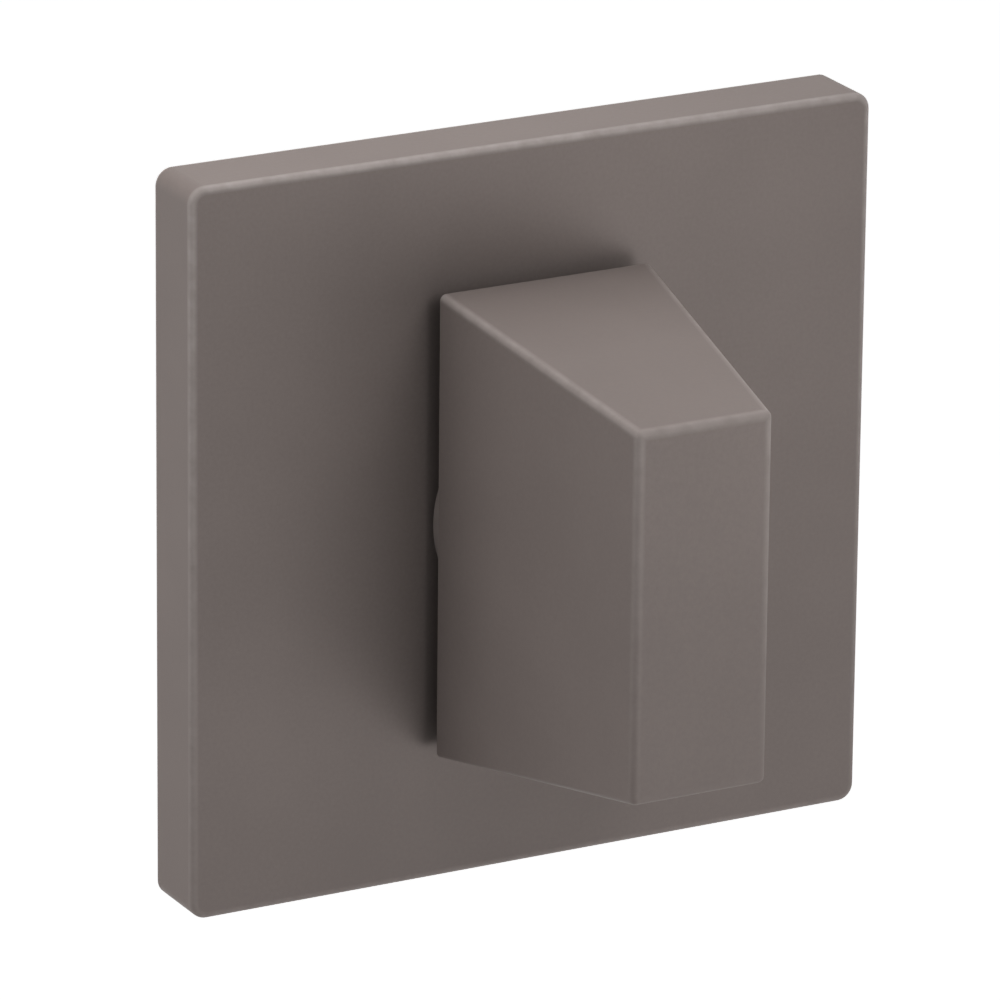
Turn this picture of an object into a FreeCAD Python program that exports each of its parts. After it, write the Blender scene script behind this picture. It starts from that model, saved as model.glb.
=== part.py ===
"""Square bathroom thumb turn rose with its knob, spindle and fixings, in millimetres.

The origin lies on the door's face, on the turning axis. +Y points into the door, so the knob
stands out along -Y. +Z is up. "Out" below is a distance from the door's face along -Y.
"""
import FreeCAD, Part
import math
import os
import Sketcher
from FreeCAD import Rotation, Vector

# Driving sizes: alias, value, what it is
SIZES = [
    ("rose_width", 52.0, "side of the square cover"),
    ("rose_depth", 5.3, "cover, from the door to its front face"),
    ("rose_corner", 1.2, "radius of the cover's four corners"),
    ("rose_edge", 0.4, "radius round the cover's front face"),
    ("cover_front", 1.5, "thickness of the cover's front wall"),
    ("cover_side", 1.5, "thickness of the cover's side walls"),
    ("cover_inner_corner", 0.8, "radius of the corners inside the cover"),
    ("notch_width", 6.0, "pry notch under the cover's lower edge"),
    ("notch_depth", 1.0, "height of that notch above the door"),
    ("knob_back_width", 16.2, "knob, width at its back"),
    ("knob_back_height", 33.3, "knob, height at its back"),
    ("knob_front_width", 10.1, "knob, width at its front face"),
    ("knob_front_height", 26.1, "knob, height at its front face"),
    ("knob_depth", 22.3, "knob, back to front"),
    ("knob_gap", 1.4, "gap between the cover and the knob"),
    ("knob_edge", 0.45, "radius of the knob's edges"),
    ("knob_back_edge", 0.12, "radius round the knob's back, which is crisper"),
    ("collar_margin", 0.4, "round collar behind the knob, beyond the bush's flange"),
    ("neck_diameter", 12.0, "neck that runs through the rose"),
    ("neck_reach", 8.0, "neck, beyond the door's face"),
    ("neck_flat_depth", 0.8, "depth of the neck's two flats"),
    ("neck_chamfer", 0.5, "chamfer at the neck's end"),
    ("running_fit", 0.05, "clearance all round a turning fit"),
    ("slide_gap", 0.05, "play between faces that turn on each other"),
    ("bush_wall", 1.0, "wall of the bearing bush"),
    ("bush_flange", 0.5, "thickness of the bush's flange"),
    ("flange_width", 0.55, "how far that flange stands out all round"),
    ("key_width", 2.4, "keys that stop the bush from turning"),
    ("key_height", 0.5, "how far the keys stand out"),
    ("washer_width", 3.95, "thrust washer and stop disc, from bore to rim"),
    ("washer_thickness", 0.5, "thrust washer"),
    ("spring_width", 2.95, "bowed spring washer, from bore to rim"),
    ("spring_thickness", 0.3, "bowed spring washer, its sheet"),
    ("spring_height", 0.8, "bowed spring washer, over its bow as fitted"),
    ("disc_thickness", 1.0, "stop disc"),
    ("lug_length", 3.0, "stop lug, beyond the disc's rim"),
    ("lug_width", 5.0, "stop lug"),
    ("ring_thickness", 1.0, "retaining ring"),
    ("ring_fit", 0.05, "clearance between the ring and its groove's bottom"),
    ("ring_width", 1.55, "retaining ring, mean width"),
    ("ring_offset", 0.35, "how far its outer circle lies off the axis"),
    ("ring_gap", 1.8, "opening between the ring's ends"),
    ("ring_ear_length", 1.4, "ring ears, beyond that circle"),
    ("ring_ear_width", 3.0, "each ring ear"),
    ("ring_ear_hole", 1.4, "hole in each ear"),
    ("groove_depth", 0.3, "the ring's groove"),
    ("spindle_size", 6.0, "square of the spindle"),
    ("spindle_reach", 40.0, "spindle, beyond the door's face"),
    ("spindle_chamfer", 0.8, "chamfer round the spindle's ends"),
    ("spindle_edge", 0.3, "chamfer along the spindle"),
    ("socket_depth", 10.0, "socket, from the door's face out into the knob"),
    ("socket_fit", 0.06, "clearance round the spindle"),
    ("pin_diameter", 2.5, "slotted pin"),
    ("pin_wall", 0.5, "wall of the pin"),
    ("pin_slot", 0.5, "slot along the pin"),
    ("pin_inset", 0.3, "how far its ends lie below the flats"),
    ("pin_margin", 4.0, "pin, from the neck's end"),
    ("pin_fit", 0.03, "clearance round the pin"),
    ("base_clearance", 0.2, "gap all round the base, inside the cover"),
    ("base_gap", 0.1, "gap between the base and the cover's front wall"),
    ("base_panel", 1.2, "thickness of the base's panel"),
    ("base_rim", 1.2, "wall round the base"),
    ("base_corner", 1.2, "radius of the base's corners"),
    ("base_relief", 0.4, "ribs, short of the door's face"),
    ("rib_width", 1.2, "ribs of the base"),
    ("hub_wall", 1.3, "wall round the stop track"),
    ("track_clearance", 0.4, "gap round the lug's sweep"),
    ("stop_clearance", 0.1, "gap left at each stop"),
    ("well_clearance", 0.9, "gap round the washers in the base"),
    ("screw_circle", 38.0, "circle through the four screws"),
    ("screw_boss", 9.4, "diameter of the screw bosses"),
    ("screw_diameter", 3.5, "wood screws, over the thread"),
    ("screw_length", 16.0, "wood screws, whole length"),
    ("screw_neck", 2.6, "plain neck below the head"),
    ("screw_thread_start", 0.3, "start of the thread, beyond the door's face"),
    ("screw_tip", 3.2, "length of the screw's point"),
    ("screw_head", 7.0, "diameter of the head"),
    ("screw_head_rim", 0.25, "straight rim of the head"),
    ("screw_hole_clearance", 0.2, "gap round the shank in the base"),
    ("screw_seat_clearance", 0.03, "gap round the head in its seat"),
    ("screw_sink", 0.2, "head, below the base's front"),
    ("recess_span", 3.9, "cross recess, over its wings"),
    ("recess_width", 0.95, "cross recess, each wing"),
    ("recess_depth", 1.7, "cross recess"),
    ("claw_place", 6.0, "snap tongues, from the middle of a side"),
    ("claw_width", 5.0, "snap tongue"),
    ("claw_length", 4.0, "how far its slots run in"),
    ("claw_slot", 0.8, "width of those slots"),
    ("claw_barb", 0.6, "how far its barb stands out"),
    ("claw_low", 0.9, "barb, its edge next to the door"),
    ("claw_height", 1.3, "barb, its height above that"),
    ("claw_crest", 0.4, "flat along the barb's top"),
    ("catch_clearance", 0.2, "gap between a barb and its catch"),
]

# Distances out from the door's face, and sizes that follow from the driving ones
COVER_INSIDE = "(Size.rose_width - 2 * Size.cover_side)"
COVER_BACK = "(Size.rose_depth - Size.cover_front)"
BUSH_FRONT = "(Size.rose_depth + Size.bush_flange)"
COLLAR_BACK = f"({BUSH_FRONT} + Size.slide_gap)"
KNOB_BACK = "(Size.rose_depth + Size.knob_gap)"
WASHER_BACK = f"({COVER_BACK} - Size.washer_thickness)"
SPRING_BACK = f"({WASHER_BACK} - Size.spring_height)"
DISC_FRONT = f"({SPRING_BACK} - Size.slide_gap)"
DISC_BACK = f"({DISC_FRONT} - Size.disc_thickness)"
RING_BACK = f"({DISC_BACK} - Size.ring_thickness)"
BASE_FRONT = f"({COVER_BACK} - Size.base_gap)"
PANEL_BACK = f"({BASE_FRONT} - Size.base_panel)"
SCREW_TOP = f"({BASE_FRONT} - Size.screw_sink)"
BASE_WIDTH = f"({COVER_INSIDE} - 2 * Size.base_clearance)"
NECK_BORE = "(Size.neck_diameter + 2 * Size.running_fit)"
NECK_FLATS = "(Size.neck_diameter - 2 * Size.neck_flat_depth)"
BUSH_OUTSIDE = f"({NECK_BORE} + 2 * Size.bush_wall)"
BUSH_FLANGE = f"({BUSH_OUTSIDE} + 2 * Size.flange_width)"
WASHER_OUTSIDE = f"({NECK_BORE} + 2 * Size.washer_width)"
SPRING_OUTSIDE = f"({NECK_BORE} + 2 * Size.spring_width)"
LUG_REACH = f"({WASHER_OUTSIDE} / 2 + Size.lug_length)"
TRACK_RADIUS = f"({LUG_REACH} + Size.track_clearance)"
GROOVE_BOTTOM = "(Size.neck_diameter - 2 * Size.groove_depth)"
RING_BORE = f"({GROOVE_BOTTOM} + 2 * Size.ring_fit)"
RING_OUTSIDE = f"({RING_BORE} + 2 * Size.ring_width)"
EAR_REACH = f"({RING_OUTSIDE} / 2 + Size.ring_ear_length)"
STOP_HEIGHT = "(Size.lug_width / 2 + Size.stop_clearance)"
SOCKET_SIZE = "(Size.spindle_size + 2 * Size.socket_fit)"
PIN_HOLE = "(Size.pin_diameter + 2 * Size.pin_fit)"
PIN_PLACE = "(Size.neck_reach - Size.pin_margin)"
SCREW_OFFSET = "(Size.screw_circle / 2 / sqrt(2))"
SCREW_HEAD_ANGLE = 90

# The four screws, by name, with the side of the middle on which each stands
SCREWS = [
    ("upper_left", "-", ""),
    ("upper_right", "", ""),
    ("lower_left", "-", "-"),
    ("lower_right", "", "-"),
]

doc = FreeCAD.newDocument("thumb_turn")
nodes = []


def make_sheet():
    sheet = doc.addObject("Spreadsheet::Sheet", "Size")
    for row, (alias, value, note) in enumerate(SIZES, start=1):
        sheet.set(f"A{row}", alias)
        sheet.set(f"B{row}", str(value))
        sheet.set(f"C{row}", note)
        sheet.setAlias(f"B{row}", alias)
    doc.recompute()
    return sheet


sheet = make_sheet()


def value(expression):
    """What an expression of the sheet's sizes comes to, in millimetres."""
    return float(sheet.evalExpression(expression))


# Bodies, sketches and features
def new_body(label):
    body = doc.addObject("PartDesign::Body", label)
    body.Label = label
    nodes.append(body)
    return body


def origin_feature(body, role):
    return next(f for f in body.Origin.OriginFeatures if f.Role == role)


def new_sketch(body, name, out="0", plane="XZ_Plane", angle=0):
    """A sketch on one of the body's planes, moved along its normal; on XZ that is out of the door."""
    sketch = body.newObject("Sketcher::SketchObject", f"{body.Label}_{name}")
    sketch.AttachmentSupport = (origin_feature(body, plane), [""])
    sketch.MapMode = "FlatFace"
    sketch.AttachmentOffset = FreeCAD.Placement(Vector(0, 0, value(out)), Rotation(Vector(0, 0, 1), angle))
    sketch.setExpression("AttachmentOffset.Base.z", out)
    return sketch


def place_point(sketch, geometry, point, x, y):
    """Ties one point of a sketch to its distances from the sketch's origin."""
    for direction, expression in (("DistanceX", x), ("DistanceY", y)):
        index = sketch.addConstraint(
            Sketcher.Constraint(direction, -1, 1, geometry, point, value(expression))
        )
        sketch.setExpression(f"Constraints[{index}]", expression)


def draw_outline(sketch, corners):
    """A closed outline of straight lines through corners, each a pair of expressions."""
    points = [Vector(value(x), value(y), 0) for x, y in corners]
    lines = [
        sketch.addGeometry(Part.LineSegment(start, points[(i + 1) % len(points)]), False)
        for i, start in enumerate(points)
    ]
    for i, line in enumerate(lines):
        sketch.addConstraint(Sketcher.Constraint("Coincident", line, 2, lines[(i + 1) % len(lines)], 1))
    for line, (x, y) in zip(lines, corners):
        place_point(sketch, line, 1, x, y)


def draw_box(sketch, x_low, x_high, y_low, y_high):
    draw_outline(sketch, [(x_low, y_low), (x_high, y_low), (x_high, y_high), (x_low, y_high)])


def draw_rectangle(sketch, width, height):
    """A rectangle centred on the sketch's origin."""
    draw_box(sketch, f"-{width} / 2", f"{width} / 2", f"-{height} / 2", f"{height} / 2")


def draw_circle(sketch, diameter, x="0", y="0"):
    centre = Vector(value(x), value(y), 0)
    circle = sketch.addGeometry(Part.Circle(centre, Vector(0, 0, 1), value(diameter) / 2), False)
    place_point(sketch, circle, 3, x, y)
    index = sketch.addConstraint(Sketcher.Constraint("Diameter", circle, value(diameter)))
    sketch.setExpression(f"Constraints[{index}]", diameter)


def draw_cross(sketch, span, width):
    """A plus sign centred on the sketch's origin."""
    far, near = f"{span} / 2", f"{width} / 2"
    quarter = [(far, near), (near, near), (near, far)]
    corners = list(quarter)
    corners += [(f"-({x})", y) for x, y in reversed(quarter)]
    corners += [(f"-({x})", f"-({y})") for x, y in quarter]
    corners += [(x, f"-({y})") for x, y in reversed(quarter)]
    draw_outline(sketch, corners)


def draw_arc_and_chord(sketch, radius, height):
    """The part of a disc that lies below a level chord."""
    size, level = value(radius), value(height)
    low_angle = math.pi - math.asin(level / size)
    circle = Part.Circle(Vector(0, 0, 0), Vector(0, 0, 1), size)
    arc = sketch.addGeometry(Part.ArcOfCircle(circle, low_angle, 3 * math.pi - low_angle), False)
    half = math.sqrt(size ** 2 - level ** 2)
    chord = sketch.addGeometry(Part.LineSegment(Vector(half, level, 0), Vector(-half, level, 0)), False)
    sketch.addConstraint(Sketcher.Constraint("Coincident", arc, 2, chord, 1))
    sketch.addConstraint(Sketcher.Constraint("Coincident", chord, 2, arc, 1))
    sketch.addConstraint(Sketcher.Constraint("Coincident", arc, 3, -1, 1))
    sketch.addConstraint(Sketcher.Constraint("Horizontal", chord))
    for kind, ends, expression in (
        ("Radius", (arc,), radius),
        ("DistanceY", (-1, 1, chord, 1), height),
    ):
        index = sketch.addConstraint(Sketcher.Constraint(kind, *ends, value(expression)))
        sketch.setExpression(f"Constraints[{index}]", expression)


def draw_double_flat(sketch, diameter, flats):
    """A circle cut by two upright flats."""
    radius, half = value(diameter) / 2, value(flats) / 2
    angle = math.acos(half / radius)
    rise = radius * math.sin(angle)
    circle = Part.Circle(Vector(0, 0, 0), Vector(0, 0, 1), radius)
    top = sketch.addGeometry(Part.ArcOfCircle(circle, angle, math.pi - angle), False)
    left = sketch.addGeometry(Part.LineSegment(Vector(-half, rise, 0), Vector(-half, -rise, 0)), False)
    bottom = sketch.addGeometry(Part.ArcOfCircle(circle, math.pi + angle, 2 * math.pi - angle), False)
    right = sketch.addGeometry(Part.LineSegment(Vector(half, -rise, 0), Vector(half, rise, 0)), False)
    for first, second in ((top, left), (left, bottom), (bottom, right), (right, top)):
        sketch.addConstraint(Sketcher.Constraint("Coincident", first, 2, second, 1))
    for arc in (top, bottom):
        sketch.addConstraint(Sketcher.Constraint("Coincident", arc, 3, -1, 1))
    for line in (left, right):
        sketch.addConstraint(Sketcher.Constraint("Vertical", line))
    sketch.addConstraint(Sketcher.Constraint("Equal", top, bottom))
    for kind, ends, expression in (
        ("Radius", (top,), f"{diameter} / 2"),
        ("DistanceX", (-1, 1, right, 1), f"{flats} / 2"),
        ("DistanceX", (-1, 1, left, 1), f"-{flats} / 2"),
    ):
        index = sketch.addConstraint(Sketcher.Constraint(kind, *ends, value(expression)))
        sketch.setExpression(f"Constraints[{index}]", expression)


def draw_bow(sketch, half_span, radius, thickness, crown):
    """A bowed strip, upright at both ends, with its crown at a height on the sketch's upright axis."""
    inner, span = value(radius), value(half_span)
    outer = inner + value(thickness)
    centre = Vector(0, value(crown) + outer, 0)
    arcs, ends = [], []
    for size in (outer, inner):
        angle = math.asin(span / size)
        circle = Part.Circle(centre, Vector(0, 0, 1), size)
        arc = Part.ArcOfCircle(circle, 1.5 * math.pi - angle, 1.5 * math.pi + angle)
        arcs.append(sketch.addGeometry(arc, False))
        ends.append(centre.y - math.sqrt(size ** 2 - span ** 2))
    for point, x in ((1, -span), (2, span)):
        line = sketch.addGeometry(Part.LineSegment(Vector(x, ends[0], 0), Vector(x, ends[1], 0)), False)
        sketch.addConstraint(Sketcher.Constraint("Coincident", line, 1, arcs[0], point))
        sketch.addConstraint(Sketcher.Constraint("Coincident", line, 2, arcs[1], point))
        sketch.addConstraint(Sketcher.Constraint("Vertical", line))
        index = sketch.addConstraint(Sketcher.Constraint("DistanceX", -1, 1, line, 1, x))
        sketch.setExpression(f"Constraints[{index}]", f"{'-' if x < 0 else ''}{half_span}")
    sketch.addConstraint(Sketcher.Constraint("Coincident", arcs[0], 3, arcs[1], 3))
    place_point(sketch, arcs[0], 3, "0", f"{crown} + {radius} + {thickness}")
    for arc, expression in zip(arcs, (f"{radius} + {thickness}", radius)):
        index = sketch.addConstraint(Sketcher.Constraint("Radius", arc, value(expression)))
        sketch.setExpression(f"Constraints[{index}]", expression)


def add_feature(body, kind, sketch, length=None, towards_door=None, through=False):
    """A Pad or a Pocket of one sketch. On XZ a pad runs out of the door by itself, and a pocket in."""
    feature = body.newObject(f"PartDesign::{kind}", f"{sketch.Name}_{kind.lower()}")
    feature.Profile = sketch
    if towards_door is not None:
        feature.Reversed = towards_door == (kind == "Pad")
    if through:
        feature.Type = "ThroughAll"
        feature.Midplane = True
    else:
        feature.setExpression("Length", length)
    sketch.Visibility = False
    doc.recompute()
    return feature


def pad_out(body, sketch, length):
    return add_feature(body, "Pad", sketch, length, towards_door=False)


def pad_in(body, sketch, length):
    return add_feature(body, "Pad", sketch, length, towards_door=True)


def cut_out(body, sketch, length):
    return add_feature(body, "Pocket", sketch, length, towards_door=False)


def cut_through(body, sketch):
    return add_feature(body, "Pocket", sketch, through=True)


def repeat_round(body, features, count):
    """Copies of features, turned about the Y axis."""
    pattern = body.newObject("PartDesign::PolarPattern", f"{features[0].Name}_round")
    pattern.Originals = features
    pattern.Axis = (origin_feature(body, "Y_Axis"), [""])
    pattern.Angle = 360
    pattern.Occurrences = count
    body.Tip = pattern
    doc.recompute()
    return pattern


def pick_edges(shape, wanted):
    """Names of the edges that pass a test."""
    return [f"Edge{i}" for i, edge in enumerate(shape.Edges, start=1) if wanted(edge)]


def dress_edges(body, kind, wanted, size_name, size):
    """A Fillet or a Chamfer on the body's edges that pass a test."""
    base = body.Tip
    feature = body.newObject(f"PartDesign::{kind}", f"{body.Label}_{size.split('.')[-1].strip(')')}")
    feature.Base = (base, pick_edges(base.Shape, wanted))
    feature.setExpression(size_name, size)
    doc.recompute()
    return feature


def round_edges(body, wanted, radius):
    return dress_edges(body, "Fillet", wanted, "Radius", radius)


def chamfer_edges(body, wanted, size):
    return dress_edges(body, "Chamfer", wanted, "Size", size)


TOUCH = 1e-4


def runs_along_y(edge):
    box = edge.BoundBox
    return box.XLength < TOUCH and box.ZLength < TOUCH


def lies_at_out(edge, out):
    box = edge.BoundBox
    return abs(box.YMin + out) < TOUCH and abs(box.YMax + out) < TOUCH


# Rose cover: a square cast shell, open at the back, that snaps over the base
def make_rose_cover():
    body = new_body("rose_cover")
    outline = new_sketch(body, "outline")
    draw_rectangle(outline, "Size.rose_width", "Size.rose_width")
    pad_out(body, outline, "Size.rose_depth")
    round_edges(body, runs_along_y, "Size.rose_corner")
    round_edges(body, lambda edge: lies_at_out(edge, value("Size.rose_depth")), "Size.rose_edge")

    hollow = new_sketch(body, "hollow")
    draw_rectangle(hollow, COVER_INSIDE, COVER_INSIDE)
    cut_out(body, hollow, COVER_BACK)
    inner_half = value(COVER_INSIDE) / 2

    def inner_corner(edge):
        middle = edge.BoundBox.Center
        off = abs(abs(middle.x) - inner_half) + abs(abs(middle.z) - inner_half)
        return runs_along_y(edge) and off < TOUCH

    round_edges(body, inner_corner, "Size.cover_inner_corner")

    hole = new_sketch(body, "hole")
    draw_circle(hole, BUSH_OUTSIDE)
    cut_through(body, hole)
    keyways = new_sketch(body, "keyways")
    draw_rectangle(keyways, f"({BUSH_OUTSIDE} + 2 * Size.key_height)", "Size.key_width")
    cut_through(body, keyways)

    # Catches for the snap tongues, two in each side wall
    catches = new_sketch(body, "catches", "Size.claw_low - Size.catch_clearance")
    half_width = "(Size.claw_width / 2 + Size.catch_clearance)"
    depth = f"({BASE_WIDTH} / 2 + Size.claw_barb + Size.catch_clearance)"
    for side in ("", "-"):
        middle = f"{side}Size.claw_place"
        draw_box(
            catches, f"{COVER_INSIDE} / 2 - Size.cover_side", depth,
            f"{middle} - {half_width}", f"{middle} + {half_width}",
        )
    catch_cut = cut_out(body, catches, "Size.claw_height + 2 * Size.catch_clearance")
    repeat_round(body, [catch_cut], 4)

    notch = new_sketch(body, "notch")
    draw_box(
        notch, "-Size.notch_width / 2", "Size.notch_width / 2",
        "-Size.rose_width / 2 - Size.cover_side", f"-{COVER_INSIDE} / 2 + Size.base_clearance / 2",
    )
    cut_out(body, notch, "Size.notch_depth")


# Rose base: a glass-filled nylon moulding, screwed to the door
def make_rose_base():
    body = new_body("rose_base")
    block = new_sketch(body, "block")
    draw_rectangle(block, BASE_WIDTH, BASE_WIDTH)
    pad_out(body, block, BASE_FRONT)
    round_edges(body, runs_along_y, "Size.base_corner")
    hollow = new_sketch(body, "hollow")
    inside = f"({BASE_WIDTH} - 2 * Size.base_rim)"
    draw_rectangle(hollow, inside, inside)
    cut_out(body, hollow, PANEL_BACK)

    # Ribs from the hub to the four corners and to the middle of each side
    for name, angle, span in (
        ("corner_ribs", 45, f"({inside} * sqrt(2) - Size.rib_width)"),
        ("side_ribs", 0, inside),
    ):
        ribs = new_sketch(body, name, "Size.base_relief", angle=angle)
        draw_cross(ribs, span, "Size.rib_width")
        pad_out(body, ribs, f"{PANEL_BACK} - Size.base_relief")

    # Hub round the stop track, and four screw bosses
    hub = new_sketch(body, "hub")
    draw_circle(hub, f"2 * ({TRACK_RADIUS} + Size.hub_wall)")
    pad_out(body, hub, PANEL_BACK)
    bosses = new_sketch(body, "bosses")
    for _, x_side, z_side in SCREWS:
        draw_circle(bosses, "Size.screw_boss", f"{x_side}{SCREW_OFFSET}", f"{z_side}{SCREW_OFFSET}")
    pad_out(body, bosses, PANEL_BACK)

    # Well for the washers, and below it the track, whose two level shoulders stop the lug
    well = new_sketch(body, "well")
    draw_circle(well, f"({WASHER_OUTSIDE} + 2 * Size.well_clearance)")
    cut_through(body, well)
    track = new_sketch(body, "track")
    draw_arc_and_chord(track, TRACK_RADIUS, STOP_HEIGHT)
    cut_out(body, track, PANEL_BACK)

    make_screw_holes(body)
    make_snap_tongues(body)


def make_screw_holes(body):
    """Four countersunk holes on the screw circle, each a little wider than its screw."""
    sketch = new_sketch(body, "screw_holes", BASE_FRONT)
    shank = "(Size.screw_diameter + 2 * Size.screw_hole_clearance)"
    for _, x_side, z_side in SCREWS:
        draw_circle(sketch, shank, f"{x_side}{SCREW_OFFSET}", f"{z_side}{SCREW_OFFSET}")
    hole = body.newObject("PartDesign::Hole", "rose_base_countersunk_holes")
    hole.Profile = sketch
    sketch.Visibility = False
    doc.recompute()
    hole.Threaded = False
    hole.DepthType = "ThroughAll"
    hole.setExpression("Diameter", shank)
    hole.HoleCutType = "Countersink"
    hole.HoleCutCustomValues = True
    hole.HoleCutCountersinkAngle = SCREW_HEAD_ANGLE
    rise = "Size.screw_sink + Size.screw_head_rim + Size.screw_seat_clearance"
    hole.setExpression("HoleCutDiameter", f"Size.screw_head + 2 * ({rise})")
    doc.recompute()


def make_snap_tongues(body):
    """Eight tongues cut free in the rim, two a side, each with a barb that clicks into the cover."""
    slots = new_sketch(body, "slots")
    edge = f"{BASE_WIDTH} / 2"
    for side in ("", "-"):
        for turn in ("", "-"):
            inner = f"{side}Size.claw_place + {turn}(Size.claw_width / 2)"
            outer = f"{inner} + {turn}Size.claw_slot"
            low, high = (inner, outer) if turn == "" else (outer, inner)
            draw_box(slots, f"{edge} - Size.claw_length", f"{edge} + Size.base_clearance", low, high)
    slot_cut = cut_through(body, slots)

    barbs = []
    for name, side in (("right", ""), ("left", "-")):
        barb = new_sketch(body, f"barb_{name}", f"{side}Size.claw_place - Size.claw_width / 2", "XY_Plane")
        slope = "((Size.claw_height - Size.claw_crest) / 2)"
        draw_outline(barb, [
            (f"{edge} - Size.base_rim / 2", "-Size.claw_low"),
            (edge, "-Size.claw_low"),
            (f"{edge} + Size.claw_barb", f"-(Size.claw_low + {slope})"),
            (f"{edge} + Size.claw_barb", f"-(Size.claw_low + {slope} + Size.claw_crest)"),
            (edge, "-(Size.claw_low + Size.claw_height)"),
            (f"{edge} - Size.base_rim / 2", "-(Size.claw_low + Size.claw_height)"),
        ])
        barbs.append(add_feature(body, "Pad", barb, "Size.claw_width"))
    repeat_round(body, [slot_cut] + barbs, 4)


# Bearing bush: a flanged plastic bush, keyed into the cover's hole
def make_bearing_bush():
    body = new_body("bearing_bush")
    flange = new_sketch(body, "flange", "Size.rose_depth")
    draw_circle(flange, BUSH_FLANGE)
    pad_out(body, flange, "Size.bush_flange")
    sleeve = new_sketch(body, "sleeve", "Size.rose_depth")
    draw_circle(sleeve, BUSH_OUTSIDE)
    pad_in(body, sleeve, "Size.cover_front")
    keys = new_sketch(body, "keys", "Size.rose_depth")
    draw_rectangle(keys, f"({BUSH_OUTSIDE} + 2 * Size.key_height)", "Size.key_width")
    pad_in(body, keys, "Size.cover_front")
    bore = new_sketch(body, "bore")
    draw_circle(bore, NECK_BORE)
    cut_through(body, bore)


# Thrust washer: lies against the back of the cover
def make_thrust_washer():
    body = new_body("thrust_washer")
    ring = new_sketch(body, "ring", WASHER_BACK)
    draw_circle(ring, WASHER_OUTSIDE)
    draw_circle(ring, NECK_BORE)
    pad_out(body, ring, "Size.washer_thickness")


# Spring washer: a spring steel ring bowed about the upright axis, its crown on the thrust washer
def make_spring_washer():
    body = new_body("spring_washer")
    rise = "(Size.spring_height - Size.spring_thickness)"
    radius = f"((({SPRING_OUTSIDE} / 2) ^ 2 + {rise} ^ 2) / (2 * {rise}))"
    bow = new_sketch(body, "bow", f"-{SPRING_OUTSIDE}", "XY_Plane")
    draw_bow(bow, SPRING_OUTSIDE, radius, "Size.spring_thickness", f"-{WASHER_BACK}")
    add_feature(body, "Pad", bow, f"2 * {SPRING_OUTSIDE}")

    trim = new_sketch(body, "trim")
    draw_rectangle(trim, f"3 * {SPRING_OUTSIDE}", f"3 * {SPRING_OUTSIDE}")
    draw_circle(trim, SPRING_OUTSIDE)
    draw_circle(trim, NECK_BORE)
    cut_through(body, trim)


# Stop disc: stamped steel, held by the neck's flats, with the lug that meets the stops
def make_stop_disc():
    body = new_body("stop_disc")
    disc = new_sketch(body, "disc", DISC_BACK)
    draw_circle(disc, WASHER_OUTSIDE)
    pad_out(body, disc, "Size.disc_thickness")
    lug = new_sketch(body, "lug", DISC_BACK)
    draw_box(lug, "-Size.lug_width / 2", "Size.lug_width / 2", f"-{LUG_REACH}", "0")
    pad_out(body, lug, "Size.disc_thickness")
    bore = new_sketch(body, "bore")
    draw_double_flat(bore, NECK_BORE, f"({NECK_FLATS} + 2 * Size.running_fit)")
    cut_through(body, bore)


# Retaining ring: an open spring ring with two ears, in the neck's groove
def make_retaining_ring():
    body = new_body("retaining_ring")
    outside = new_sketch(body, "outside", RING_BACK)
    draw_circle(outside, RING_OUTSIDE, y="-Size.ring_offset")
    pad_out(body, outside, "Size.ring_thickness")
    ears = new_sketch(body, "ears", RING_BACK)
    half = "(Size.ring_gap / 2 + Size.ring_ear_width)"
    draw_box(ears, f"-{half}", half, "0", EAR_REACH)
    pad_out(body, ears, "Size.ring_thickness")
    reach = value(EAR_REACH)

    def ear_corner(edge):
        return runs_along_y(edge) and abs(edge.BoundBox.Center.z - reach) < TOUCH

    round_edges(body, ear_corner, "Size.ring_ear_hole / 2")
    bore = new_sketch(body, "bore")
    draw_circle(bore, RING_BORE)
    cut_through(body, bore)
    gap = new_sketch(body, "gap")
    draw_box(gap, "-Size.ring_gap / 2", "Size.ring_gap / 2", "0", f"{EAR_REACH} + Size.ring_gap")
    cut_through(body, gap)
    holes = new_sketch(body, "ear_holes")
    middle = "((Size.ring_gap + Size.ring_ear_width) / 2)"
    height = f"{EAR_REACH} - Size.ring_ear_hole"
    for side in ("", "-"):
        draw_circle(holes, "Size.ring_ear_hole", f"{side}{middle}", height)
    cut_through(body, holes)


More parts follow.
